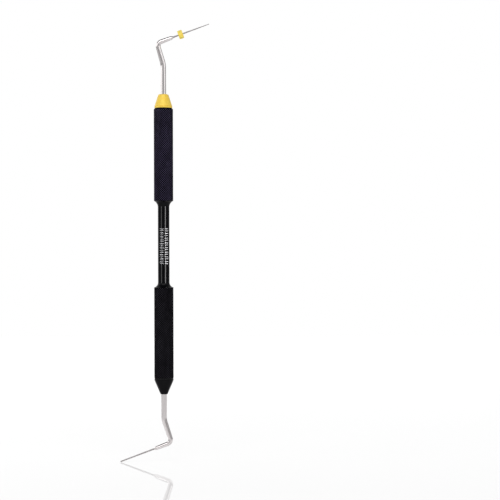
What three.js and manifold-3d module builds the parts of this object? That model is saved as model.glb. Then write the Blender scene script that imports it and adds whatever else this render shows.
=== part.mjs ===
// A double-ended root-canal hand plugger: two knurled grips on a waisted centre bar, a nose cone at
// each end, a bent steel shank in each nose, a fine working tip in each shank, and a silicone depth
// stop that slides on the upper tip. Millimetres, +Z along the handle, origin in the middle of the neck.
import * as THREE from "three";
import { mergeVertices } from "three/addons/utils/BufferGeometryUtils.js";
import Module from "manifold-3d";

const { degToRad } = THREE.MathUtils;

// ---- Driving dimensions ----

const HANDLE_SIDES = 36;
const SHANK_SIDES = 20;
const TIP_SIDES = 16;
const PIN_SIDES = 16;
const ARC_STEPS = 6;
const STOP_ARC_STEPS = 4;
const BEND_STEP_ANGLE = 8;
const MERGE_TOLERANCE = 1e-4;

// Gaps between pieces that are pressed or bonded together.
const PRESS_GAP = 0.03;
const FACE_GAP = 0.02;

const GRIP_RADIUS = 4.0;
const GRIP_BORE = 2.75;
const GRIP_INNER_CHAMFER = 0.08;
const UPPER_GRIP_ENDS = [18.1, 56.5];
const LOWER_GRIP_ENDS = [17.85, 55.6];

const NECK_RADIUS = 2.4;
const NECK_TOP = 15.5;
const NECK_BOTTOM = 15.75;
const FLARE_RADIUS = 3.95;

// Each spigot of the centre bar carries shallow grooves that hold the bonding resin.
const SPIGOT_RADIUS = GRIP_BORE - PRESS_GAP;
const SPIGOT_LENGTH = 12;
const SPIGOT_CHAMFER = 0.4;
const RESIN_GROOVES = 2;
const RESIN_GROOVE = { depth: 0.12, width: 0.8, first: 3.2, pitch: 4 };

const SEAL_THICKNESS = 0.2;

const STEM_LENGTH = 11;
const STEM_CHAMFER = 0.3;
const BUSH_RADIUS = 2.0;
const BUSH_LENGTH = 8.5;
const BUSH_CHAMFER = 0.2;
const CROSS_PIN_RADIUS = 0.5;
const CROSS_PIN_DEPTH = 6.8;
const CROSS_PIN_INSET = 0.1;

// The shank is 2.35 mm where it enters the nose, the usual dental shank size.
const SHANK_RADIUS = 1.175;
const TANG_DEPTH = 10.8;
const TANG_CHAMFER = 0.2;
const SHOULDER_LENGTH = 0.9;
const SHOULDER_END_RADIUS = 0.5;
const TIP_ROOT_DEPTH = 3.0;
const TIP_BORE_CLEARANCE = 0.04;
const TIP_EDGE = 0.03;

// Upper end: size-coded cone, nickel-titanium tip. Heights are measured from the origin.
const UPPER = {
  gripEnd: UPPER_GRIP_ENDS[1],
  gripChamfer: 0.3,
  sealInset: 0.5,
  baseRadius: 3.7,
  landLength: 0.6,
  grooveDepth: 0.14,
  grooveWidth: 0.16,
  noseHeight: 62.45,
  noseRadius: 2.2,
  noseRounding: 0.5,
  firstBendHeight: 75.0,
  firstBendAngle: 16.1,
  firstBendRadius: 9,
  secondBendHeight: 83.78,
  secondBendAngle: 86.0,
  secondBendRadius: 1.9,
  reach: 7.08,
  bendRadii: [1.12, 0.98],
  shoulderRadius: 0.82,
  tipLength: 15.95,
  tipRootRadius: 0.325,
  tipEndRadius: 0.14,
};

// Lower end: plain black cone, stiffer steel tip. Heights are measured downwards from the origin.
const LOWER = {
  gripEnd: LOWER_GRIP_ENDS[1],
  gripChamfer: 0.12,
  sealInset: 0.1,
  baseRadius: 3.97,
  landLength: 0.65,
  grooveDepth: 0,
  grooveWidth: 0,
  noseHeight: 62.3,
  noseRadius: 1.56,
  noseRounding: 0.3,
  firstBendHeight: 73.0,
  firstBendAngle: 18.5,
  firstBendRadius: 8,
  secondBendHeight: 82.35,
  secondBendAngle: 87.9,
  secondBendRadius: 1.9,
  reach: 7.78,
  bendRadii: [1.1, 0.95],
  shoulderRadius: 0.8,
  tipLength: 14.95,
  tipRootRadius: 0.31,
  tipEndRadius: 0.25,
};

// Depth stop on the upper tip; its place is counted from the shank's shoulder.
const STOP_RADIUS = 1.8;
const STOP_THICKNESS = 1.95;
const STOP_ROUNDING = 0.3;
const STOP_CLEARANCE = 0.03;
const STOP_BORE = UPPER.tipRootRadius + STOP_CLEARANCE;
const STOP_SINK_RADIUS = 0.62;
const STOP_SINK_DEPTH = 0.35;
const STOP_PLACE = 3.36;

// ---- Materials ----

const material = (color, roughness, metalness) =>
  new THREE.MeshStandardMaterial({ color, roughness, metalness });

const blackGloss = material(0x0b0b0d, 0.28, 0.6);
const blackKnurl = material(0x17171c, 0.6, 0.5);
const yellowAnodised = material(0xf6c22c, 0.42, 0.5);
const polishedSteel = material(0xc9c4c6, 0.18, 1.0);
const plainSteel = material(0x9c9c9c, 0.4, 1.0);
const nickelTitanium = material(0x8f8a8a, 0.3, 1.0);
const yellowSilicone = material(0xf9d22c, 0.55, 0.0);
const blackRubber = material(0x101010, 0.8, 0.0);

// ---- Shaping helpers ----

const point = (radius, height) => new THREE.Vector2(radius, height);

// A turned solid: the outline is (radius, height) pairs, turned about +Z.
function turned(outline, sides) {
  return new THREE.LatheGeometry(outline, sides).rotateX(Math.PI / 2);
}

// A turned ring: its outline runs once round the wall and closes on its first point.
function turnedRing(outline, sides) {
  return turned([...outline, outline[0].clone()], sides);
}

// Points of a circular arc in the outline plane, with angles in degrees.
function arc(centre, radius, from, to, steps = ARC_STEPS) {
  return Array.from({ length: steps + 1 }, (_, i) => {
    const angle = degToRad(from + ((to - from) * i) / steps);
    return point(centre.x + radius * Math.cos(angle), centre.y + radius * Math.sin(angle));
  });
}

const wasm = await Module();
wasm.setup();

function toSolid(geometry) {
  const bare = geometry.clone();
  bare.deleteAttribute("normal");
  bare.deleteAttribute("uv");
  const merged = mergeVertices(bare, MERGE_TOLERANCE);
  return new wasm.Manifold(
    new wasm.Mesh({
      numProp: 3,
      vertProperties: merged.attributes.position.array,
      triVerts: new Uint32Array(merged.index.array),
    }),
  );
}

function fromSolid(solid) {
  const mesh = solid.getMesh();
  const geometry = new THREE.BufferGeometry();
  geometry.setAttribute("position", new THREE.BufferAttribute(mesh.vertProperties, 3));
  geometry.setIndex(new THREE.BufferAttribute(mesh.triVerts, 1));
  return geometry.toNonIndexed();
}

const cutAway = (geometry, tool) => fromSolid(toSolid(geometry).subtract(toSolid(tool)));

function named(name, geometry, finish) {
  geometry.computeVertexNormals();
  const mesh = new THREE.Mesh(geometry, finish);
  mesh.name = name;
  return mesh;
}

// ---- Centre bar: neck, a hollow-curved flare and a spigot at each end ----

// One half of the bar's outline, from the neck outwards, for heights counted away from the middle.
function barHalf(neckEnd, flareEnd) {
  const rise = FLARE_RADIUS - NECK_RADIUS;
  const run = flareEnd - neckEnd;
  const radius = (run * run + rise * rise) / (2 * rise);
  const sweep = THREE.MathUtils.radToDeg(Math.asin(run / radius));
  const flare = arc(point(NECK_RADIUS + radius, neckEnd), radius, 180, 180 - sweep);
  const grooves = Array.from({ length: RESIN_GROOVES }, (_, i) => {
    const start = flareEnd + RESIN_GROOVE.first + i * RESIN_GROOVE.pitch;
    const floor = SPIGOT_RADIUS - RESIN_GROOVE.depth;
    const end = start + RESIN_GROOVE.width;
    return [
      point(SPIGOT_RADIUS, start),
      point(floor, start),
      point(floor, end),
      point(SPIGOT_RADIUS, end),
    ];
  }).flat();
  const spigotEnd = flareEnd + SPIGOT_LENGTH;
  return [
    ...flare,
    point(SPIGOT_RADIUS, flareEnd),
    ...grooves,
    point(SPIGOT_RADIUS, spigotEnd - SPIGOT_CHAMFER),
    point(SPIGOT_RADIUS - SPIGOT_CHAMFER, spigotEnd),
    point(0, spigotEnd),
  ];
}

function centreBar() {
  const upperHalf = barHalf(NECK_TOP, UPPER_GRIP_ENDS[0] - FACE_GAP);
  const lowerHalf = barHalf(NECK_BOTTOM, LOWER_GRIP_ENDS[0] - FACE_GAP)
    .map((p) => point(p.x, -p.y))
    .reverse();
  return named("centre_bar", turned([...lowerHalf, ...upperHalf], HANDLE_SIDES), blackGloss);
}

// ---- Grip sleeve: a tube whose crest surface carries the knurl ----

function gripSleeve(name, [innerEnd, outerEnd], outerChamfer) {
  const outline = [
    point(GRIP_BORE, innerEnd),
    point(GRIP_RADIUS - GRIP_INNER_CHAMFER, innerEnd),
    point(GRIP_RADIUS, innerEnd + GRIP_INNER_CHAMFER),
    point(GRIP_RADIUS, outerEnd - outerChamfer),
    point(GRIP_RADIUS - outerChamfer, outerEnd),
    point(GRIP_BORE, outerEnd),
  ];
  return named(name, turnedRing(outline, HANDLE_SIDES), blackKnurl);
}

// ---- Nose cone with its stem, bush, seal and cross pin ----

const coneBase = (end) => end.gripEnd + SEAL_THICKNESS + 2 * FACE_GAP;
const pinHeight = (end) => end.gripEnd - CROSS_PIN_DEPTH;

// The drilling for the cross pin, square to the plane in which the shank is bent.
function pinDrill(end, radius, length) {
  return new THREE.CylinderGeometry(radius, radius, length, PIN_SIDES).translate(0, 0, pinHeight(end));
}

const drilled = (geometry, end) =>
  cutAway(geometry, pinDrill(end, CROSS_PIN_RADIUS + PRESS_GAP, 2 * GRIP_RADIUS));

function noseCone(name, end, finish) {
  const base = coneBase(end);
  const stemEnd = base - STEM_LENGTH;
  const landEnd = base + end.landLength;
  const grooveEnd = landEnd + end.grooveWidth;
  const bore = SHANK_RADIUS + PRESS_GAP;
  const slope = Math.atan2(end.baseRadius - end.noseRadius, end.noseHeight - grooveEnd);
  const turn = THREE.MathUtils.radToDeg(slope);
  const rounding = end.noseRounding;
  const roundingCentre = point(end.noseRadius - rounding, end.noseHeight - rounding);
  const groove = end.grooveDepth
    ? [
        point(end.baseRadius - end.grooveDepth, (landEnd + grooveEnd) / 2),
        point(end.baseRadius, grooveEnd),
      ]
    : [];
  const outline = [
    point(BUSH_RADIUS + PRESS_GAP, stemEnd),
    point(SPIGOT_RADIUS - STEM_CHAMFER, stemEnd),
    point(SPIGOT_RADIUS, stemEnd + STEM_CHAMFER),
    point(SPIGOT_RADIUS, base),
    point(end.baseRadius - FACE_GAP, base),
    point(end.baseRadius, base + FACE_GAP),
    point(end.baseRadius, landEnd),
    ...groove,
    ...arc(roundingCentre, rounding, turn, 90),
    point(bore, end.noseHeight),
    point(bore, stemEnd + BUSH_LENGTH + FACE_GAP),
    point(BUSH_RADIUS + PRESS_GAP, stemEnd + BUSH_LENGTH + FACE_GAP),
  ];
  return named(name, drilled(turnedRing(outline, HANDLE_SIDES), end), finish);
}

function tangBush(name, end) {
  const from = coneBase(end) - STEM_LENGTH;
  const to = from + BUSH_LENGTH;
  const bore = SHANK_RADIUS + PRESS_GAP;
  const outline = [
    point(bore, from),
    point(BUSH_RADIUS - BUSH_CHAMFER, from),
    point(BUSH_RADIUS, from + BUSH_CHAMFER),
    point(BUSH_RADIUS, to - BUSH_CHAMFER),
    point(BUSH_RADIUS - BUSH_CHAMFER, to),
    point(bore, to),
  ];
  return named(name, drilled(turnedRing(outline, SHANK_SIDES), end), plainSteel);
}

function sealRing(name, end) {
  const from = end.gripEnd + FACE_GAP;
  const to = from + SEAL_THICKNESS;
  const outer = GRIP_RADIUS - end.sealInset;
  const outline = [point(GRIP_BORE, from), point(outer, from), point(outer, to), point(GRIP_BORE, to)];
  return named(name, turnedRing(outline, HANDLE_SIDES), blackRubber);
}

function crossPin(name, end) {
  const length = 2 * (SPIGOT_RADIUS - CROSS_PIN_INSET);
  return named(name, pinDrill(end, CROSS_PIN_RADIUS, length), plainSteel);
}

// ---- Shank: turned straight, then bent twice in the XZ plane ----

// The centreline as straights and arcs. Each has a length along the bar and the turn it makes.
function shankRoute(end) {
  const first = { radius: end.firstBendRadius, turn: -degToRad(end.firstBendAngle) };
  const second = { radius: end.secondBendRadius, turn: degToRad(end.secondBendAngle) };
  const setback = (bend) => bend.radius * Math.tan(Math.abs(bend.turn) / 2);
  const tangEnd = end.gripEnd - TANG_DEPTH;
  const betweenBends = (end.secondBendHeight - end.firstBendHeight) / Math.cos(first.turn);
  return [
    { length: end.firstBendHeight - tangEnd - setback(first), turn: 0 },
    { length: first.radius * Math.abs(first.turn), turn: first.turn },
    { length: betweenBends - setback(first) - setback(second), turn: 0 },
    { length: second.radius * Math.abs(second.turn), turn: second.turn },
    { length: end.reach - setback(second), turn: 0 },
  ];
}

// Where a point at a distance along the route lies, and which way the bar heads there.
function placeOnRoute(route, start, distance) {
  let { x, z, heading } = start;
  let left = distance;
  for (const [i, piece] of route.entries()) {
    const last = i === route.length - 1;
    const used = last ? left : Math.min(left, piece.length);
    const turned = (piece.turn * used) / piece.length;
    const chord = turned ? (2 * Math.sin(turned / 2)) / turned : 1;
    const middle = heading + turned / 2;
    x += used * chord * Math.sin(middle);
    z += used * chord * Math.cos(middle);
    heading += turned;
    left -= used;
  }
  return { x, z, heading };
}

// Bends a bar that was turned about +Y, whose heights are distances along the route.
function bent(geometry, route, start) {
  const places = geometry.attributes.position;
  for (let i = 0; i < places.count; i++) {
    const across = places.getX(i);
    const side = places.getZ(i);
    const at = placeOnRoute(route, start, places.getY(i));
    const x = at.x + across * Math.cos(at.heading);
    const z = at.z - across * Math.sin(at.heading);
    places.setXYZ(i, x, -side, z);
  }
  return geometry;
}

// Distances along the route that need a ring of points: the joints, and steps inside each arc.
function routeStations(route) {
  const stations = [];
  let from = 0;
  for (const piece of route) {
    const steps = Math.max(1, Math.ceil(Math.abs(piece.turn) / degToRad(BEND_STEP_ANGLE)));
    for (let i = 1; i <= steps; i++) stations.push(from + (piece.length * i) / steps);
    from += piece.length;
  }
  return stations;
}

const routeLength = (route) => route.reduce((sum, piece) => sum + piece.length, 0);

// The radius runs straight from one given station to the next.
function radiusAlong(marks, distance) {
  const next = marks.findIndex((mark) => mark.at >= distance);
  const [a, b] = [marks[next - 1], marks[next]];
  return THREE.MathUtils.mapLinear(distance, a.at, b.at, a.radius, b.radius);
}

function shank(name, end) {
  const route = shankRoute(end);
  const [tang, firstBend] = route;
  const arm = route.at(-1);
  const start = { x: 0, z: end.gripEnd - TANG_DEPTH, heading: 0 };
  const total = routeLength(route);
  const shoulder = total - SHOULDER_LENGTH;
  const nose = end.noseHeight - start.z;
  const marks = [
    { at: TANG_CHAMFER, radius: SHANK_RADIUS },
    { at: nose, radius: SHANK_RADIUS },
    { at: tang.length + firstBend.length, radius: end.bendRadii[0] },
    { at: total - arm.length, radius: end.bendRadii[1] },
    { at: shoulder, radius: end.shoulderRadius },
  ];
  const stations = [...routeStations(route).filter((s) => s < shoulder), nose, shoulder];
  const bore = end.tipRootRadius + TIP_BORE_CLEARANCE;
  const boreEnd = total - TIP_ROOT_DEPTH - FACE_GAP;
  const outline = [
    point(0, 0),
    point(SHANK_RADIUS - TANG_CHAMFER, 0),
    point(SHANK_RADIUS, TANG_CHAMFER),
    ...stations.sort((a, b) => a - b).map((s) => point(radiusAlong(marks, s), s)),
    point(SHOULDER_END_RADIUS, total),
    point(bore, total),
    point(bore, boreEnd),
    point(0, boreEnd),
  ];
  const straight = new THREE.LatheGeometry(outline, SHANK_SIDES);
  return named(name, drilled(bent(straight, route, start), end), polishedSteel);
}

// A group whose origin is the shank's shoulder and whose +Z runs out along the tip.
function tipFrame(end) {
  const route = shankRoute(end);
  const start = { x: 0, z: end.gripEnd - TANG_DEPTH, heading: 0 };
  const shoulder = placeOnRoute(route, start, routeLength(route));
  const frame = new THREE.Group();
  frame.position.set(shoulder.x, 0, shoulder.z);
  frame.rotation.y = shoulder.heading;
  return frame;
}

// ---- Working tip: a ground wire whose root is fixed in the shank ----

function workingTip(name, end, finish) {
  const outline = [
    point(0, -TIP_ROOT_DEPTH),
    point(end.tipRootRadius - TIP_EDGE, -TIP_ROOT_DEPTH),
    point(end.tipRootRadius, -TIP_ROOT_DEPTH + TIP_EDGE),
    point(end.tipRootRadius, 0),
    point(end.tipEndRadius, end.tipLength - TIP_EDGE),
    point(end.tipEndRadius - TIP_EDGE, end.tipLength),
    point(0, end.tipLength),
  ];
  return named(name, turned(outline, TIP_SIDES), finish);
}

// ---- Depth stop: a round silicone disc with a sunk entry on the shank side ----

function depthStop() {
  const half = STOP_THICKNESS / 2;
  const corner = STOP_RADIUS - STOP_ROUNDING;
  const outline = [
    point(STOP_SINK_RADIUS, -half),
    ...arc(point(corner, -half + STOP_ROUNDING), STOP_ROUNDING, -90, 0, STOP_ARC_STEPS),
    ...arc(point(corner, half - STOP_ROUNDING), STOP_ROUNDING, 0, 90, STOP_ARC_STEPS),
    point(STOP_BORE, half),
    point(STOP_BORE, -half + STOP_SINK_DEPTH),
  ];
  const stop = named("depth_stop", turnedRing(outline, SHANK_SIDES), yellowSilicone);
  stop.position.z = STOP_PLACE;
  return stop;
}

// ---- One end of the instrument, built upwards from the handle ----

function workingEnd(side, end, coneName, coneFinish, tipFinish, ...onTip) {
  const group = new THREE.Group();
  const tip = tipFrame(end);
  tip.add(workingTip(`${side}_tip`, end, tipFinish), ...onTip);
  group.add(
    sealRing(`${side}_seal`, end),
    noseCone(coneName, end, coneFinish),
    tangBush(`${side}_tang_bush`, end),
    crossPin(`${side}_cross_pin`, end),
    shank(`${side}_shank`, end),
    tip,
  );
  return group;
}

const upperEnd = workingEnd("upper", UPPER, "size_cone", yellowAnodised, nickelTitanium, depthStop());
upperEnd.add(gripSleeve("upper_grip", UPPER_GRIP_ENDS, UPPER.gripChamfer));

const lowerEnd = workingEnd("lower", LOWER, "lower_cone", blackGloss, polishedSteel);
lowerEnd.add(gripSleeve("lower_grip", LOWER_GRIP_ENDS, LOWER.gripChamfer));
lowerEnd.rotation.y = Math.PI;

const plugger = new THREE.Group();
plugger.name = "hand_plugger";
plugger.add(centreBar(), upperEnd, lowerEnd);

export default plugger;
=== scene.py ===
"""Looks of a double-ended root-canal hand plugger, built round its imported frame.

Shapes are made in millimetres, with +Z outwards from the handle's middle, and turned into metres
when they become pieces. The lower end is made like the upper one and then turned upside down.
"""

import math
from types import SimpleNamespace

import bmesh
import bpy
from mathutils import Matrix, Vector


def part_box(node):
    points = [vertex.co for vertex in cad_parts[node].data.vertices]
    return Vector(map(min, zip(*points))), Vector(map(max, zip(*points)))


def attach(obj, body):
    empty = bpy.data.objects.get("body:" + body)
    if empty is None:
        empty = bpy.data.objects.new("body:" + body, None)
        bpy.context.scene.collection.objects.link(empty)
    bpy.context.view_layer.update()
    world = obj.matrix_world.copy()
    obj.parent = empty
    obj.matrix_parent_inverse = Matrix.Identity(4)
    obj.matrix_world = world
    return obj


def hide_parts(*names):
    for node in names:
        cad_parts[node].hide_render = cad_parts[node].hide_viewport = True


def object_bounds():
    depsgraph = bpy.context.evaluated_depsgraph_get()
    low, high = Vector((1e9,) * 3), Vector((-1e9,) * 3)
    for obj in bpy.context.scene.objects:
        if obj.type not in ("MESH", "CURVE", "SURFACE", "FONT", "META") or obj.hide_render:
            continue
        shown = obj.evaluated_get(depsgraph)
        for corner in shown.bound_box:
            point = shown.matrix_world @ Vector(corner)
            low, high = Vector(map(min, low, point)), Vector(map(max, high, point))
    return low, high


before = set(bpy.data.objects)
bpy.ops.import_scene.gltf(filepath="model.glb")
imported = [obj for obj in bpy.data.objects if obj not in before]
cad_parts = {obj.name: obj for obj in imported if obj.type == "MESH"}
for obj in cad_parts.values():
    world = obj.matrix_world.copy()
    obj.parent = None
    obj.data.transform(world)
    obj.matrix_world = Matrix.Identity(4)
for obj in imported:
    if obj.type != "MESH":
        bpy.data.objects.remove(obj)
cad_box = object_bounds()

MM = 0.001
HANDLE = "instrument"
STOP = "stop"
UPSIDE_DOWN = Matrix.Rotation(math.pi, 4, "Y")


def frame_size(node):
    """Where a CAD node starts and ends along the handle, counted outwards, and its largest radius,
    in mm."""
    low, high = (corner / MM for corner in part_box(node))
    near, far = sorted((abs(low.z), abs(high.z)))
    return near, far, max(high.x, high.y)


# ---- Sizes in millimetres ----

HANDLE_SIDES = 96
FINE_SIDES = 48
ARC_STEPS = 16
ROUTE_STEP = 0.3
PRESS_GAP = 0.03
FACE_GAP = 0.02
# Faces that meet at more than this many degrees show an edge.
CREASE = 32
KNURL_CREASE = 25

GRIP_BORE = 2.75
GRIP_INNER_CHAMFER = 0.08
# Diamond knurl of 0.93 mm pitch with sloping flanks and small flat crests.
KNURLS_ROUND = 27
KNURL_DEPTH = 0.14
CREST_SHARE = 0.38
# Fingers only reach the outer part of each diamond, and the painted glint sits there too.
RUBBED_AND_GLINT_SHARE = 0.35

NECK_RADIUS = 2.4
NECK_ENDS = (-15.75, 15.5)
FLARE_RADIUS = 3.95
FLARE_EDGE = 0.05
SPIGOT_RADIUS = GRIP_BORE - PRESS_GAP
SPIGOT_CHAMFER = 0.4

STEM_CHAMFER = 0.3
BUSH_RADIUS = 2.0
BUSH_LENGTH = 8.5
STEM_LENGTH = 11
CROSS_PIN_RADIUS = 0.5
CROSS_PIN_DEPTH = 6.8
PIN_DRILL_REACH = 5

SHANK_RADIUS = 1.175
TANG_DEPTH = 10.8
TANG_CHAMFER = 0.2
SHOULDER_LENGTH = 0.9
SHOULDER_END_RADIUS = 0.5
SHOULDER_EDGE = 0.05
TIP_ROOT_DEPTH = 3.0
TIP_BORE_CLEARANCE = 0.04
TIP_EDGE = 0.03

STOP_ROUNDING = 0.3
STOP_CLEARANCE = 0.03
STOP_SINK_RADIUS = 0.62
STOP_SINK_DEPTH = 0.35
STOP_LIP = 0.06
MOULD_LINE = 0.015

PRINT_GAP = 0.002
PRINT_THICKNESS = 0.012
PRINT_ARC_STEPS = 8
# Two columns of plain bars in pairs: the angles they span from the front in degrees, the top of the
# first pair, the pitch of the pairs and their number, the step to a pair's second bar, and the widths.
BOLD_COLUMN = SimpleNamespace(
    angles=(15, 51), top=6.6, pitch=1.94, pairs=8, step=0.85, widths=(0.26, 0.2)
)
FINE_COLUMN = SimpleNamespace(
    angles=(-36, 1), top=6.5, pitch=1.52, pairs=10, step=0.66, widths=(0.15, 0.12)
)

# The two ends. A bend is (height where its straights meet, angle, radius), bend_radii are the bar's
# radii after each bend, a groove is (depth, width), and tip_radii are those at root and point.
UPPER = SimpleNamespace(
    side="upper",
    cone="size_cone",
    turn=Matrix.Identity(4),
    land=0.6,
    grip_chamfer=0.3,
    groove=(0.14, 0.16),
    nose_radius=2.2,
    nose_rounding=0.5,
    first_bend=(75.0, math.radians(16.1), 9.0),
    second_bend=(83.78, math.radians(86.0), 1.9),
    reach=7.08,
    bend_radii=(1.12, 0.98),
    shoulder_radius=0.82,
    tip_length=15.95,
    tip_radii=(0.325, 0.14),
)
LOWER = SimpleNamespace(
    side="lower",
    cone="lower_cone",
    turn=UPSIDE_DOWN,
    land=0.65,
    grip_chamfer=0.12,
    groove=None,
    nose_radius=1.56,
    nose_rounding=0.3,
    first_bend=(73.0, math.radians(18.5), 8.0),
    second_bend=(82.35, math.radians(87.9), 1.9),
    reach=7.78,
    bend_radii=(1.1, 0.95),
    shoulder_radius=0.8,
    tip_length=14.95,
    tip_radii=(0.31, 0.25),
)
for end in (UPPER, LOWER):
    end.grip_start, end.grip_end, end.grip_radius = frame_size(f"{end.side}_grip")
    end.stem_end, end.nose, end.base_radius = frame_size(end.cone)
    end.base = end.stem_end + STEM_LENGTH
STOP_BORE = UPPER.tip_radii[0] + STOP_CLEARANCE


# ---- Shaping ----


def arc(centre, radius, start, stop, steps=ARC_STEPS):
    """Points of a circular arc in an outline, from one angle to another in degrees."""
    angles = [math.radians(start + (stop - start) * k / steps) for k in range(steps + 1)]
    return [(centre[0] + radius * math.cos(a), centre[1] + radius * math.sin(a)) for a in angles]


def turned(outline, sides=HANDLE_SIDES, ring=False):
    """A body turned about +Z from (radius, height) points. A ring's outline closes on itself."""
    bm = bmesh.new()
    rings = []
    for radius, height in outline:
        count = sides if radius > 0 else 1
        angles = [2 * math.pi * k / sides for k in range(count)]
        spots = [(radius * math.cos(a), radius * math.sin(a), height) for a in angles]
        rings.append([bm.verts.new(spot) for spot in spots])
    for lower, upper in zip(rings, rings[1:] + rings[:1] if ring else rings[1:]):
        for k in range(sides):
            following = (k + 1) % sides
            corners = [
                lower[k % len(lower)],
                lower[following % len(lower)],
                upper[following % len(upper)],
                upper[k % len(upper)],
            ]
            bm.faces.new(dict.fromkeys(corners))
    bmesh.ops.recalc_face_normals(bm, faces=bm.faces)
    return bm


def carved(bm, tool, operation):
    """The result of a boolean operation on two closed bodies, which are both used up."""
    objects = []
    for body in (bm, tool):
        mesh = bpy.data.meshes.new("body")
        body.to_mesh(mesh)
        body.free()
        objects.append(bpy.data.objects.new("body", mesh))
        bpy.context.scene.collection.objects.link(objects[-1])
    cut = objects[0].modifiers.new("cut", "BOOLEAN")
    cut.object = objects[1]
    cut.operation = operation
    cut.solver = "MANIFOLD"
    graph = bpy.context.evaluated_depsgraph_get()
    result = bmesh.new()
    result.from_object(objects[0], graph)
    for spent in objects:
        bpy.data.meshes.remove(spent.data)
    return result


def drilled(bm, height):
    """Cuts the cross pin's hole, which runs along Y."""
    radius = CROSS_PIN_RADIUS + PRESS_GAP
    reach = PIN_DRILL_REACH
    drill = turned([(0, -reach), (radius, -reach), (radius, reach), (0, reach)], FINE_SIDES)
    drill.transform(Matrix.Translation((0, 0, height)) @ Matrix.Rotation(math.pi / 2, 4, "X"))
    return carved(bm, drill, "DIFFERENCE")


def as_turned(bm):
    """Notes where each point is before any bending, for surface patterns that follow the work."""
    layer = bm.verts.layers.float_vector.new("as_turned")
    for vertex in bm.verts:
        vertex[layer] = vertex.co
    return bm


def make_piece(name, bm, material, slot, *nodes, body=HANDLE, crease=CREASE):
    """Turns a body in millimetres into a piece that rides on a CAD body and stands for its nodes."""
    bm.transform(Matrix.Scale(MM, 4))
    mesh = bpy.data.meshes.new(name)
    bm.to_mesh(mesh)
    bm.free()
    mesh.shade_smooth()
    mesh.set_sharp_from_angle(angle=math.radians(crease))
    mesh.materials.append(material)
    piece = bpy.data.objects.new(name, mesh)
    bpy.context.scene.collection.objects.link(piece)
    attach(piece, body)
    if nodes:
        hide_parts(*nodes)
    return piece


# ---- Materials ----

WHITE = (1, 1, 1, 1)
BLACK = (0, 0, 0, 1)


def from_hex(code):
    """An sRGB hex colour as linear RGBA."""
    channels = [int(code[k : k + 2], 16) / 255 for k in (0, 2, 4)]
    linear = [c / 12.92 if c <= 0.04045 else ((c + 0.055) / 1.055) ** 2.4 for c in channels]
    return (*linear, 1.0)


def add(tree, kind, settings=(), inputs=()):
    """Adds a node. An input is either a value or the socket that feeds it."""
    node = tree.nodes.new(kind)
    for key, value in dict(settings).items():
        setattr(node, key, value)
    for key, value in dict(inputs).items():
        if isinstance(value, bpy.types.NodeSocket):
            tree.links.new(value, node.inputs[key])
        else:
            node.inputs[key].default_value = value
    return node


def new_material(name, values):
    """A named material, its node tree and its shader, with the shader's constant values set."""
    material = bpy.data.materials.new(name)
    material.use_nodes = True
    tree = material.node_tree
    shader = tree.nodes["Principled BSDF"]
    for key, value in values.items():
        shader.inputs[key].default_value = value
    return material, tree, shader


def work_place(tree):
    """Where a point is on the straight work, in mm."""
    return add(tree, "ShaderNodeAttribute", {"attribute_name": "as_turned"}).outputs["Vector"]


def grain(tree, place, sizes, detail=2.0):
    """Noise whose grains have the given sizes along X, Y and Z, in the units of the place."""
    scaled = add(tree, "ShaderNodeVectorMath", {"operation": "DIVIDE"}, {0: place, 1: sizes})
    inputs = {"Vector": scaled.outputs["Vector"], "Scale": 1.0, "Detail": detail}
    return add(tree, "ShaderNodeTexNoise", {}, inputs).outputs["Fac"]


def spread(tree, value, low, high, start=0.3, stop=0.7):
    """Maps a pattern's middle range to a range of values."""
    inputs = {"Value": value, "From Min": start, "From Max": stop, "To Min": low, "To Max": high}
    return add(tree, "ShaderNodeMapRange", {}, inputs).outputs["Result"]


# A Mix node numbers its sockets for all data types together: these are the ones for colours.
MIX_FIRST, MIX_SECOND, MIX_RESULT = 6, 7, 2


def blended(tree, share, first, second):
    """A colour between two hex codes."""
    inputs = {0: share, MIX_FIRST: from_hex(first), MIX_SECOND: from_hex(second)}
    return add(tree, "ShaderNodeMix", {"data_type": "RGBA"}, inputs).outputs[MIX_RESULT]


def raised(tree, shader, height, depth):
    """Bump of a real depth in mm."""
    inputs = {"Height": height, "Distance": depth * MM, "Strength": 1.0}
    bump = add(tree, "ShaderNodeBump", {}, inputs)
    tree.links.new(bump.outputs["Normal"], shader.inputs["Normal"])


def polished_black_anodised():
    """Black anodised aluminium, turned and polished before the bath: a deep, glassy black with
    tight highlights, in which turning rings and faint clouds only just show."""
    values = {"Metallic": 0.0, "IOR": 1.5, "Specular IOR Level": 0.09}
    material, tree, shader = new_material("polished_black_anodised_aluminium", values)
    place = work_place(tree)
    # Real turning marks are 0.03 mm apart; here they are 0.12 mm so that they can be seen.
    rings = grain(tree, place, (9.0, 9.0, 0.12))
    cloud = grain(tree, place, (1.6, 1.6, 5.0), 4.0)
    colour = blended(tree, spread(tree, cloud, 0.0, 1.0), "020203", "050507")
    tree.links.new(colour, shader.inputs["Base Color"])
    tree.links.new(spread(tree, rings, 0.08, 0.14), shader.inputs["Roughness"])
    raised(tree, shader, rings, 0.0012)
    return material


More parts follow.
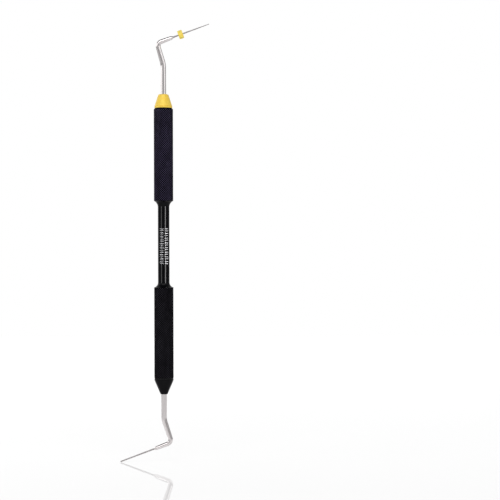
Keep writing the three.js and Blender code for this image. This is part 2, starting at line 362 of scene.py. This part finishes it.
def knurled_black_anodised(name, dye, crest, shine):
    """Black anodised aluminium with a rolled knurl, its colour partly painted light and shade: the
    valleys are painted a near-black that stands for shade in them, and the crests, which fingers rub
    smoother, are painted paler, partly as wear and partly as a painted glint, so they show as a fine
    diamond pattern."""
    values = {"Metallic": 0.0, "IOR": 1.5}
    material, tree, shader = new_material(name, values)
    place = work_place(tree)
    across = add(tree, "ShaderNodeVectorMath", {"operation": "MULTIPLY"}, {0: place, 1: (1, 1, 0)})
    radius = add(tree, "ShaderNodeVectorMath", {"operation": "LENGTH"}, {0: across.outputs[0]})
    top = UPPER.grip_radius
    height = spread(tree, radius.outputs["Value"], 0.0, 1.0, top - RUBBED_AND_GLINT_SHARE * KNURL_DEPTH, top)
    rubbed = spread(tree, grain(tree, place, (2.5, 2.5, 6.0), 3.0), 0.4, 1.0)
    wear_and_painted_glint = add(tree, "ShaderNodeMath", {"operation": "MULTIPLY"}, {0: height, 1: rubbed})
    # The blasted skin under the anodising has grains of about 0.04 mm.
    skin = grain(tree, place, (0.04, 0.04, 0.04))
    # Painted light and shade: the valleys take the near-black dye colour as painted shade, and the
    # crests take the paler crest colour, partly as rubbed wear and partly as a painted glint.
    colour = blended(tree, wear_and_painted_glint.outputs[0], dye, crest)
    tree.links.new(colour, shader.inputs["Base Color"])
    tree.links.new(spread(tree, height, 0.0, shine, 0.5, 1.0), shader.inputs["Specular IOR Level"])
    tree.links.new(spread(tree, wear_and_painted_glint.outputs[0], 0.5, 0.16, 0.1, 0.8), shader.inputs["Roughness"])
    raised(tree, shader, skin, 0.004)
    return material


def yellow_anodised():
    """Yellow anodised aluminium, turned fine: a clear golden yellow dye over satin metal, so the
    light slides round it softly, with faint turning rings and paler clouds where the dye is thin."""
    values = {"Metallic": 0.1, "IOR": 1.5, "Specular IOR Level": 0.35}
    material, tree, shader = new_material("yellow_anodised_aluminium", values)
    place = work_place(tree)
    # Real turning marks are 0.03 mm apart; here they are 0.1 mm so that they can be seen.
    rings = grain(tree, place, (8.0, 8.0, 0.1))
    cloud = grain(tree, place, (1.5, 1.5, 1.5), 4.0)
    colour = blended(tree, spread(tree, cloud, 0.0, 1.0), "fbd24a", "fddc60")
    tree.links.new(colour, shader.inputs["Base Color"])
    tree.links.new(spread(tree, rings, 0.34, 0.48), shader.inputs["Roughness"])
    raised(tree, shader, rings, 0.002)
    return material


def polished_steel():
    """Stainless steel, belt polished along the shank: a bright, faintly warm mirror that is broken
    into thin lengthwise lines."""
    values = {"Metallic": 1.0}
    material, tree, shader = new_material("polished_stainless_steel", values)
    place = work_place(tree)
    # Belt lines are some 0.02 mm wide; here they are 0.07 mm so that they can be seen.
    lines = grain(tree, place, (0.07, 0.07, 7.0), 3.0)
    cloud = grain(tree, place, (1.2, 1.2, 4.0), 3.0)
    colour = blended(tree, spread(tree, cloud, 0.0, 1.0), "e2dcdc", "ece7e7")
    tree.links.new(colour, shader.inputs["Base Color"])
    tree.links.new(spread(tree, lines, 0.1, 0.22), shader.inputs["Roughness"])
    raised(tree, shader, lines, 0.0015)
    return material


def ground_wire(name, light, dark):
    """Metal wire ground to a taper: a satin grey with fine rings square to its length, clouded
    where handling has dulled it."""
    material, tree, shader = new_material(name, {"Metallic": 1.0})
    place = work_place(tree)
    # Wheel marks are 0.01 mm apart; here they are 0.05 mm so that they can be seen.
    rings = grain(tree, place, (1.5, 1.5, 0.05))
    cloud = grain(tree, place, (0.5, 0.5, 2.0), 4.0)
    colour = blended(tree, spread(tree, cloud, 0.0, 1.0), light, dark)
    tree.links.new(colour, shader.inputs["Base Color"])
    tree.links.new(spread(tree, rings, 0.2, 0.36), shader.inputs["Roughness"])
    raised(tree, shader, rings, 0.0012)
    return material


def yellow_silicone():
    """Moulded silicone rubber: a soft, slightly cloudy yellow with a dull skin, dimpled like the
    mould it came from."""
    values = {
        "IOR": 1.41,
        "Subsurface Weight": 0.25,
        "Subsurface Radius": (0.6, 0.4, 0.15),
        "Subsurface Scale": 0.0008,
    }
    material, tree, shader = new_material("moulded_yellow_silicone", values)
    place = work_place(tree)
    dimples = grain(tree, place, (0.09, 0.09, 0.09), 3.0)
    cloud = grain(tree, place, (0.8, 0.8, 0.8), 3.0)
    colour = blended(tree, spread(tree, cloud, 0.0, 1.0), "fbdc55", "fde572")
    tree.links.new(colour, shader.inputs["Base Color"])
    tree.links.new(spread(tree, dimples, 0.42, 0.6), shader.inputs["Roughness"])
    raised(tree, shader, dimples, 0.006)
    return material


def white_ink():
    """Pad-printed white ink, baked on: so thin that the black below turns it grey, with darker
    pinholes."""
    material, tree, shader = new_material("pad_printed_white_ink", {"IOR": 1.5})
    place = work_place(tree)
    speckle = grain(tree, place, (0.06, 0.06, 0.06), 3.0)
    colour = blended(tree, spread(tree, speckle, 0.0, 1.0, 0.25, 0.45), "6e6e71", "b6b6b9")
    tree.links.new(colour, shader.inputs["Base Color"])
    tree.links.new(spread(tree, speckle, 0.4, 0.6), shader.inputs["Roughness"])
    raised(tree, shader, speckle, 0.003)
    return material


def plain_turned_steel():
    """Steel bar, turned and left plain: a dull grey with turning rings."""
    material, tree, shader = new_material("plain_turned_steel", {"Metallic": 1.0})
    place = add(tree, "ShaderNodeTexCoord").outputs["Object"]
    rings = grain(tree, place, (4 * MM, 4 * MM, 0.08 * MM))
    colour = blended(tree, spread(tree, rings, 0.0, 1.0), "8f8f90", "a6a6a6")
    tree.links.new(colour, shader.inputs["Base Color"])
    tree.links.new(spread(tree, rings, 0.32, 0.5), shader.inputs["Roughness"])
    raised(tree, shader, rings, 0.003)
    return material


def black_rubber():
    """Moulded black rubber: almost no shine, with a fine sandy skin."""
    material, tree, shader = new_material("moulded_black_rubber", {"IOR": 1.52})
    place = add(tree, "ShaderNodeTexCoord").outputs["Object"]
    sand = grain(tree, place, (0.08 * MM,) * 3)
    colour = blended(tree, spread(tree, sand, 0.0, 1.0), "0a0a0a", "151515")
    tree.links.new(colour, shader.inputs["Base Color"])
    tree.links.new(spread(tree, sand, 0.7, 0.85), shader.inputs["Roughness"])
    raised(tree, shader, sand, 0.006)
    return material


def pale_acrylic():
    """Pale acrylic sheet for the floor: matt white under a thin gloss, and lit a little from below,
    so that it stays bright and what stands near it is faintly mirrored."""
    values = {
        "Roughness": 0.03,
        "IOR": 1.5,
        "Emission Color": WHITE,
        "Emission Strength": FLOOR_GLOW,
    }
    material, tree, shader = new_material("pale_acrylic_sheet", values)
    place = add(tree, "ShaderNodeTexCoord").outputs["Object"]
    cloud = grain(tree, place, (200 * MM,) * 3)
    colour = blended(tree, spread(tree, cloud, 0.0, 1.0), "e2e2e2", "e6e6e6")
    tree.links.new(colour, shader.inputs["Base Color"])
    return material


def white_card():
    """A sheet of white card that is lit from behind."""
    values = {
        "Base Color": BLACK,
        "Specular IOR Level": 0.0,
        "Emission Color": WHITE,
        "Emission Strength": 1.0,
    }
    return new_material("backlit_white_card", values)[0]


# ---- Centre bar and its printed marks ----


def flare(neck_end, grip_start):
    """Hollow curve from the neck out to the grip, as outline points that count outwards."""
    rise = FLARE_RADIUS - NECK_RADIUS
    run = grip_start - FACE_GAP - neck_end
    radius = (run * run + rise * rise) / (2 * rise)
    sweep = math.degrees(math.asin((run - FLARE_EDGE) / radius))
    curve = arc((NECK_RADIUS + radius, neck_end), radius, 180, 180 - sweep)
    return [*curve, (FLARE_RADIUS, neck_end + run - FLARE_EDGE / 2), (FLARE_RADIUS, neck_end + run)]


def bar_half(neck_end, grip_start, bar_end):
    """One half of the bar's outline, from the neck outwards."""
    return [
        *flare(neck_end, grip_start),
        (SPIGOT_RADIUS, grip_start - FACE_GAP),
        (SPIGOT_RADIUS, bar_end - SPIGOT_CHAMFER),
        (SPIGOT_RADIUS - SPIGOT_CHAMFER, bar_end),
        (0, bar_end),
    ]


def make_centre_bar(material):
    """The neck with its two flares, and a spigot at each end that the grip hides."""
    low, high = (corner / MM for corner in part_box("centre_bar"))
    upper_half = bar_half(NECK_ENDS[1], UPPER.grip_start, high.z)
    lower_half = bar_half(-NECK_ENDS[0], LOWER.grip_start, -low.z)
    outline = [(radius, -height) for radius, height in reversed(lower_half)] + upper_half
    bm = as_turned(turned(outline))
    return make_piece("neck_bar", bm, material, "gloss_black_anodised", "centre_bar")


def add_mark(bm, angles, heights):
    """Adds one printed bar, a thin plate that hugs the neck between two angles from the front."""
    loops = []
    for k in range(PRINT_ARC_STEPS + 1):
        angle = math.radians(angles[0] + (angles[1] - angles[0]) * k / PRINT_ARC_STEPS)
        inner = NECK_RADIUS + PRINT_GAP
        outer = inner + PRINT_THICKNESS
        corners = [
            (inner, heights[0]),
            (outer, heights[0]),
            (outer, heights[1]),
            (inner, heights[1]),
        ]
        spots = [(r * math.sin(angle), -r * math.cos(angle), height) for r, height in corners]
        loops.append([bm.verts.new(spot) for spot in spots])
    for near, far in zip(loops, loops[1:]):
        for k in range(4):
            following = (k + 1) % 4
            bm.faces.new((near[k], near[following], far[following], far[k]))
    bm.faces.new(loops[0])
    bm.faces.new(loops[-1])


def make_marks(material):
    """Plain bars in two columns on the neck's front, one bolder than the other."""
    bm = bmesh.new()
    for column in (BOLD_COLUMN, FINE_COLUMN):
        for k in range(column.pairs):
            for n, width in enumerate(column.widths):
                height = column.top - k * column.pitch - n * column.step
                add_mark(bm, column.angles, (height - width, height))
    bmesh.ops.recalc_face_normals(bm, faces=bm.faces)
    return make_piece("printed_bars", as_turned(bm), material, "gloss_black_anodised")


# ---- Knurled grips ----


def knurled_bar(start, stop, radius):
    """A closed bar that is covered with flat-topped diamonds from before start to after stop."""
    columns = 2 * KNURLS_ROUND
    half_pitch = math.pi * radius / KNURLS_ROUND
    rows = math.ceil((stop - start) / half_pitch) + 2

    def spot(column, row, at_radius):
        """Where a point of the lattice lies. Valleys are at its even points, crests at the odd."""
        angle = math.pi * column / KNURLS_ROUND
        height = start + (row - 1) * half_pitch
        return at_radius * math.cos(angle), at_radius * math.sin(angle), height

    bm = bmesh.new()
    lattice = [(c, r) for r in range(rows + 1) for c in range(columns)]
    deep = radius - KNURL_DEPTH
    valleys = {(c, r): bm.verts.new(spot(c, r, deep)) for c, r in lattice if (c + r) % 2 == 0}
    steps = ((1, 0), (0, 1), (-1, 0), (0, -1))
    for c, r in lattice:
        if (c + r) % 2 == 0 or r in (0, rows):
            continue
        base = [valleys[(c + dc) % columns, r + dr] for dc, dr in steps]
        corners = [(c + dc * CREST_SHARE, r + dr * CREST_SHARE) for dc, dr in steps]
        crest = [bm.verts.new(spot(column, row, radius)) for column, row in corners]
        bm.faces.new(crest)
        for k in range(4):
            following = (k + 1) % 4
            bm.faces.new((base[k], base[following], crest[following], crest[k]))
    middle = (start + stop) / 2
    rims = [edge for edge in bm.edges if edge.is_boundary]
    for side, row in ((-1, 0), (1, rows)):
        hub = bm.verts.new((0, 0, spot(0, row, 0)[2]))
        for edge in rims:
            if (edge.verts[0].co.z - middle) * side > 0:
                bm.faces.new((*edge.verts, hub))
    loose = [vertex for vertex in bm.verts if not vertex.link_faces]
    bmesh.ops.delete(bm, geom=loose, context="VERTS")
    bmesh.ops.recalc_face_normals(bm, faces=bm.faces)
    return bm


def make_grip(end, material):
    """A grip sleeve: the knurled bar cut to length, chamfered and bored by a turned envelope."""
    spare = 0.1
    outer = end.grip_radius + spare
    envelope = turned(
        [
            (GRIP_BORE, end.grip_start),
            (end.grip_radius - GRIP_INNER_CHAMFER, end.grip_start),
            (outer, end.grip_start + GRIP_INNER_CHAMFER + spare),
            (outer, end.grip_end - end.grip_chamfer - spare),
            (end.grip_radius - end.grip_chamfer, end.grip_end),
            (GRIP_BORE, end.grip_end),
        ],
        ring=True,
    )
    bar = knurled_bar(end.grip_start, end.grip_end, end.grip_radius)
    bm = as_turned(carved(bar, envelope, "INTERSECT"))
    bm.transform(end.turn)
    name = f"{end.side}_knurled_grip"
    node = f"{end.side}_grip"
    return make_piece(name, bm, material, "knurled_black_anodised", node, crease=KNURL_CREASE)


# ---- Nose cones ----


def make_cone(end, name, material, slot):
    """A nose cone with its stem, which is bored for the bush and the shank."""
    land_end = end.base + end.land
    groove = []
    taper_start = land_end
    if end.groove:
        depth, width = end.groove
        taper_start += width
        centre = (end.base_radius, land_end + width / 2)
        # A round-bottomed groove, cut with a tool as wide as the groove.
        dip = arc(centre, width / 2, -90, -270, ARC_STEPS // 2)
        stretch = depth / (width / 2)
        groove = [(end.base_radius + (r - end.base_radius) * stretch, height) for r, height in dip]
    slope = math.atan2(end.base_radius - end.nose_radius, end.nose - taper_start)
    rounding = end.nose_rounding
    nose_centre = (end.nose_radius - rounding, end.nose - rounding)
    bore = SHANK_RADIUS + PRESS_GAP
    bush_end = end.stem_end + BUSH_LENGTH + FACE_GAP
    outline = [
        (BUSH_RADIUS + PRESS_GAP, end.stem_end),
        (SPIGOT_RADIUS - STEM_CHAMFER, end.stem_end),
        (SPIGOT_RADIUS, end.stem_end + STEM_CHAMFER),
        (SPIGOT_RADIUS, end.base),
        (end.base_radius - FACE_GAP, end.base),
        (end.base_radius, end.base + FACE_GAP),
        *(groove or [(end.base_radius, land_end)]),
        *arc(nose_centre, rounding, math.degrees(slope), 90),
        (bore + FACE_GAP, end.nose),
        (bore, end.nose - FACE_GAP),
        (bore, bush_end),
        (BUSH_RADIUS + PRESS_GAP, bush_end),
    ]
    bm = drilled(turned(outline, ring=True), end.grip_end - CROSS_PIN_DEPTH)
    bm = as_turned(bm)
    bm.transform(end.turn)
    return make_piece(name, bm, material, slot, end.cone)


# ---- Shanks and tips ----


def shank_route(end):
    """The shank's centreline as (length, turn) of its straights and bends, from the tang's end."""
    first_height, first_turn, first_radius = end.first_bend
    second_height, second_turn, second_radius = end.second_bend
    first_setback = first_radius * math.tan(first_turn / 2)
    second_setback = second_radius * math.tan(second_turn / 2)
    between = (second_height - first_height) / math.cos(first_turn)
    return [
        (first_height - end.grip_end + TANG_DEPTH - first_setback, 0.0),
        (first_radius * first_turn, -first_turn),
        (between - first_setback - second_setback, 0.0),
        (second_radius * second_turn, second_turn),
        (end.reach - second_setback, 0.0),
    ]


def place_on_route(end, distance):
    """Where a point at a distance along the route lies, and which way the bar heads there."""
    route = shank_route(end)
    x, z, heading = 0.0, end.grip_end - TANG_DEPTH, 0.0
    for k, (length, turn) in enumerate(route):
        used = distance if k == len(route) - 1 else min(distance, length)
        part_turn = turn * used / length
        chord = 2 * math.sin(part_turn / 2) / part_turn if part_turn else 1.0
        x += used * chord * math.sin(heading + part_turn / 2)
        z += used * chord * math.cos(heading + part_turn / 2)
        heading += part_turn
        distance -= used
    return x, z, heading


def bend(bm, end):
    """Bends a straight bar, whose heights are distances along the route, in the XZ plane."""
    for vertex in bm.verts:
        x, z, heading = place_on_route(end, vertex.co.z)
        across = vertex.co.x
        vertex.co.x = x + across * math.cos(heading)
        vertex.co.z = z - across * math.sin(heading)


def make_shank(end, material):
    """A shank, turned straight with its taper, shoulder, tip bore and pin hole, and then bent."""
    route = shank_route(end)
    total = sum(length for length, _ in route)
    shoulder = total - SHOULDER_LENGTH
    marks = [
        (TANG_CHAMFER, SHANK_RADIUS),
        (end.nose - end.grip_end + TANG_DEPTH, SHANK_RADIUS),
        (route[0][0] + route[1][0], end.bend_radii[0]),
        (total - route[4][0], end.bend_radii[1]),
        (shoulder, end.shoulder_radius),
    ]
    wall = []
    for (start, first), (stop, last) in zip(marks, marks[1:]):
        steps = math.ceil((stop - start) / ROUTE_STEP)
        for k in range(steps):
            share = k / steps
            wall.append((first + (last - first) * share, start + (stop - start) * share))
    bore = end.tip_radii[0] + TIP_BORE_CLEARANCE
    bore_end = total - TIP_ROOT_DEPTH - FACE_GAP
    outline = [
        (0, 0),
        (SHANK_RADIUS - TANG_CHAMFER, 0),
        *wall,
        marks[-1][::-1],
        (SHOULDER_END_RADIUS, total - SHOULDER_EDGE),
        (SHOULDER_END_RADIUS - SHOULDER_EDGE, total),
        (bore, total),
        (bore, bore_end),
        (0, bore_end),
    ]
    bm = as_turned(drilled(turned(outline, FINE_SIDES), TANG_DEPTH - CROSS_PIN_DEPTH))
    bend(bm, end)
    bm.transform(end.turn)
    name = f"{end.side}_bent_shank"
    make_piece(name, bm, material, "polished_steel", f"{end.side}_shank")


def tip_frame(end):
    """Matrix from the tip's own frame, whose origin is the shank's shoulder, to the row frame."""
    x, z, heading = place_on_route(end, sum(length for length, _ in shank_route(end)))
    return end.turn @ Matrix.Translation((x, 0, z)) @ Matrix.Rotation(heading, 4, "Y")


def make_tip(end, name, material, slot):
    """A working tip: a wire ground to a taper, with a flat end whose edge is just broken."""
    root, point = end.tip_radii
    length = end.tip_length
    shares = [k / ARC_STEPS for k in range(1, ARC_STEPS)]
    outline = [
        (0, -TIP_ROOT_DEPTH),
        (root - TIP_EDGE, -TIP_ROOT_DEPTH),
        (root, -TIP_ROOT_DEPTH + TIP_EDGE),
        (root, 0),
        *[(root + (point - root) * share, length * share) for share in shares],
        *arc((point - TIP_EDGE, length - TIP_EDGE), TIP_EDGE, 0, 90, ARC_STEPS // 4),
        (0, length),
    ]
    bm = as_turned(turned(outline, FINE_SIDES))
    bm.transform(tip_frame(end))
    make_piece(name, bm, material, slot, f"{end.side}_tip")


# ---- Depth stop ----


def make_stop(material):
    """A moulded disc with rounded edges, a sunk entry, a parting line and a lip round its hole."""
    to_tip = tip_frame(UPPER).inverted()
    spots = [to_tip @ (vertex.co / MM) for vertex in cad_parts["depth_stop"].data.vertices]
    low = min(spot.z for spot in spots)
    high = max(spot.z for spot in spots)
    radius = max(math.hypot(spot.x, spot.y) for spot in spots)
    corner = radius - STOP_ROUNDING
    middle = (low + high) / 2
    outline = [
        (STOP_SINK_RADIUS, low + STOP_LIP),
        (STOP_SINK_RADIUS + STOP_LIP, low),
        *arc((corner, low + STOP_ROUNDING), STOP_ROUNDING, -90, 0),
        (radius, middle - 2 * MOULD_LINE),
        (radius + MOULD_LINE, middle),
        (radius, middle + 2 * MOULD_LINE),
        *arc((corner, high - STOP_ROUNDING), STOP_ROUNDING, 0, 90),
        (STOP_BORE + STOP_LIP, high),
        (STOP_BORE, high - STOP_LIP),
        (STOP_BORE, low + STOP_SINK_DEPTH),
    ]
    bm = as_turned(turned(outline, ring=True))
    bm.transform(tip_frame(UPPER))
    make_piece("silicone_stop", bm, material, "yellow_silicone", "depth_stop", body=STOP)


# ---- Studio ----

# Sizes here are in metres, apart from the camera's sensor and lens, which are in millimetres.
CAMERA_PLACE = Vector((0.03592, -0.636, -0.0024))
CAMERA_SENSOR = 36
CAMERA_LENS = 110
CAMERA_ROLL = math.radians(0.145)
WATTS_PER_RADIANCE = 4
# The studio's grey, low down and on its walls, and the share of it that is left at the ceiling. Each
# change runs between two rises, where -1 looks straight down and 1 straight up.
LOW_GREY = 0.3
WALL_GREY = 0.42
CEILING_SHARE = 0.25
WALL_RISE = (-0.05, 0.25)
CEILING_RISE = (0.7, 0.9)
FLOOR_GLOW = 0.24
FLOOR_GAP = 0.03 * MM
FLOOR_REACH = 4.0
CARD_PLACE = 0.9
CARD_HALF_WIDTH = 0.31
CARD_HEIGHT = 0.6


def make_camera():
    """Straight-on view of the handle's middle from its front, a little to its right."""
    data = bpy.data.cameras.new("camera")
    data.sensor_width = CAMERA_SENSOR
    data.lens = CAMERA_LENS
    camera = bpy.data.objects.new("camera", data)
    aim = Matrix.Rotation(CAMERA_ROLL, 4, "Y") @ Matrix.Rotation(math.pi / 2, 4, "X")
    camera.matrix_world = Matrix.Translation(CAMERA_PLACE) @ aim
    bpy.context.scene.collection.objects.link(camera)
    bpy.context.scene.camera = camera


def softbox(name, azimuth, place, size, radiance):
    """A rectangular light at (distance, height) that faces the handle's axis level with itself.
    Azimuth 0 is the camera's side and 90 is +X."""
    data = bpy.data.lights.new(name, "AREA")
    data.shape = "RECTANGLE"
    data.size, data.size_y = size
    data.energy = radiance * WATTS_PER_RADIANCE * size[0] * size[1]
    light = bpy.data.objects.new(name, data)
    distance, height = place
    angle = math.radians(azimuth)
    spot = Vector((distance * math.sin(angle), -distance * math.cos(angle), height))
    light.location = spot
    light.rotation_euler = Vector((spot.x, spot.y, 0)).to_track_quat("Z", "Y").to_euler()
    light.visible_camera = False
    bpy.context.scene.collection.objects.link(light)
    return light


def aimed_down(light):
    """Tips a light so that it faces the origin."""
    light.rotation_euler = light.location.normalized().to_track_quat("Z", "Y").to_euler()


def make_lights(polished_pieces):
    """Fills and a rim light above the instrument, and a key from the front and higher up, light
    all of it. Two tall strips and a faint rim light draw the lines down the polished black
    pieces, and light nothing else."""
    softbox("upper_left_fill", -67, (0.7, 0.31), (0.75, 0.38), 0.7)
    softbox("upper_left_rim", -124, (0.7, 0.31), (0.75, 0.38), 0.75)
    softbox("upper_right_fill", 62, (0.7, 0.31), (0.7, 0.38), 0.62)
    aimed_down(softbox("front_key", 0, (0.9, 0.75), (1.2, 0.7), 1.8))
    lit = bpy.data.collections.new("lit_by_strips")
    for piece in polished_pieces:
        lit.objects.link(piece)
    for strip in (
        softbox("right_strip", 38.5, (0.7, 0.0), (0.19, 0.3), 24),
        softbox("left_strip", -43, (0.7, 0.0), (0.19, 0.3), 8),
        softbox("left_rim", -124, (0.7, 0.0), (0.25, 0.3), 1.0),
    ):
        strip.light_linking.receiver_collection = lit


def make_world():
    """White to the camera. What it lights sees a grey studio that is a little darker low down, as a
    room is below its lamps, and much darker at the ceiling."""
    world = bpy.data.worlds.new("studio")
    world.use_nodes = True
    bpy.context.scene.world = world
    tree = world.node_tree
    tree.nodes.clear()
    ray = add(tree, "ShaderNodeTexCoord").outputs["Generated"]
    rise = add(tree, "ShaderNodeSeparateXYZ", {}, {0: ray}).outputs["Z"]
    wall = spread(tree, rise, LOW_GREY, WALL_GREY, *WALL_RISE)
    ceiling = spread(tree, rise, 1.0, CEILING_SHARE, *CEILING_RISE)
    grey = add(tree, "ShaderNodeMath", {"operation": "MULTIPLY"}, {0: wall, 1: ceiling}).outputs[0]
    dim = add(tree, "ShaderNodeBackground", {}, {"Color": WHITE, "Strength": grey})
    white = add(tree, "ShaderNodeBackground", {}, {"Color": WHITE, "Strength": 1.0})
    path = add(tree, "ShaderNodeLightPath")
    inputs = {0: path.outputs["Is Camera Ray"], 1: dim.outputs[0], 2: white.outputs[0]}
    mix = add(tree, "ShaderNodeMixShader", {}, inputs)
    add(tree, "ShaderNodeOutputWorld", {}, {"Surface": mix.outputs[0]})


def make_sheet(name, corners, material):
    """A flat four-cornered sheet that belongs to the studio."""
    mesh = bpy.data.meshes.new(name)
    mesh.from_pydata(corners, [], [(0, 1, 2, 3)])
    mesh.materials.append(material)
    sheet = bpy.data.objects.new(name, mesh)
    bpy.context.scene.collection.objects.link(sheet)


def make_stage():
    """A floor just under the instrument, and a bright card that stands on it behind."""
    floor = cad_box[0].z - FLOOR_GAP
    reach = FLOOR_REACH
    corners = [
        (-reach, -reach, floor),
        (reach, -reach, floor),
        (reach, reach, floor),
        (-reach, reach, floor),
    ]
    make_sheet("floor", corners, pale_acrylic())
    half = CARD_HALF_WIDTH
    top = floor + CARD_HEIGHT
    corners = [
        (-half, CARD_PLACE, floor),
        (half, CARD_PLACE, floor),
        (half, CARD_PLACE, top),
        (-half, CARD_PLACE, top),
    ]
    make_sheet("card", corners, white_card())


# ---- Making ----

make_camera()
make_world()
make_stage()

gloss_black = polished_black_anodised()
# The last two colours of each grip are its valleys' near-black, which paints shade into them, and its
# crests' paler tone, partly wear and partly a painted glint.
blue_black = knurled_black_anodised("knurled_blue_black_aluminium", "000001", "59526f", 0.16)
neutral_black = knurled_black_anodised("knurled_black_aluminium", "000000", "434149", 0.03)
make_grip(UPPER, blue_black)
make_grip(LOWER, neutral_black)
polished_pieces = [
    make_centre_bar(gloss_black),
    make_marks(white_ink()),
    make_cone(LOWER, "black_nose_cone", gloss_black, "gloss_black_anodised"),
]
make_cone(UPPER, "yellow_nose_cone", yellow_anodised(), "yellow_anodised")
bright_steel = polished_steel()
for end in (UPPER, LOWER):
    make_shank(end, bright_steel)
upper_wire = ground_wire("ground_nickel_titanium", "a9a4a4", "8d8787")
lower_wire = ground_wire("ground_stainless_steel", "b5b0b0", "9d9797")
make_tip(UPPER, "nickel_titanium_tip", upper_wire, "nickel_titanium")
make_tip(LOWER, "steel_tip", lower_wire, "polished_steel")
make_stop(yellow_silicone())
make_lights(polished_pieces)

# The bushes, pins and seals are inside or barely show, so they keep the frame's own shapes.
hidden_steel = plain_turned_steel()
hidden_rubber = black_rubber()
for name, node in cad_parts.items():
    if name.endswith(("_tang_bush", "_cross_pin", "_seal")):
        material = hidden_rubber if name.endswith("_seal") else hidden_steel
        node.data.materials.clear()
        node.data.materials.append(material)

bpy.context.scene.view_settings.view_transform = "Standard"
